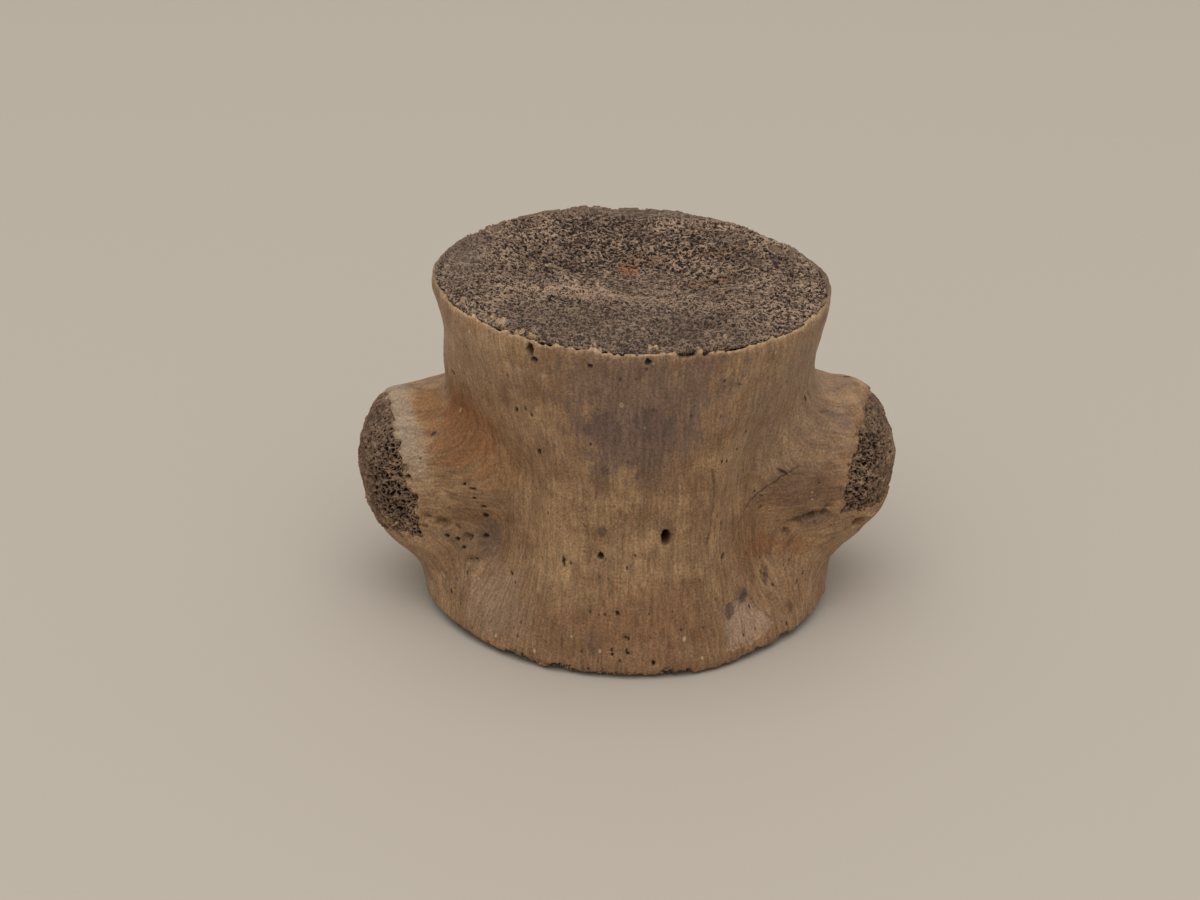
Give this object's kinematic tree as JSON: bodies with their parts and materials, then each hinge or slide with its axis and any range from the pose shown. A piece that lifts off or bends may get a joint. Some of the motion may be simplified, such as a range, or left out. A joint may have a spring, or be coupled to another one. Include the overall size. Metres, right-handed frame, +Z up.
{
  "type": "fossil vertebra centrum",
  "caption": "Fossil reptile vertebral centrum, a waisted spool of bone with spongy end faces and a stub-like rib process on each flank, standing on one end.",
  "frame": {"origin": "on the table, under the middle of the bone's box", "axes": "+Z up along the bone from the lower to the upper end face, +X to the right across the rib processes, +Y to the back where the neural arch sat, the belly side towards -Y"},
  "size_m": [0.0388, 0.024, 0.0261],
  "materials": {
    "compact_bone": "tan fossil bone, fine fibres, grey and rust stains, matt with a faint waxy shine",
    "spongy_bone": "dark open spongy fossil bone with a fine network of pale struts, fully matt"
  },
  "bodies": {
    "root": {"centrum": "compact_bone", "upper_end_face": "spongy_bone", "lower_end_face": "spongy_bone", "left_rib_facet": "spongy_bone", "right_rib_facet": "spongy_bone", "left_arch_facet": "spongy_bone", "right_arch_facet": "spongy_bone"}
  },
  "joints": []
}
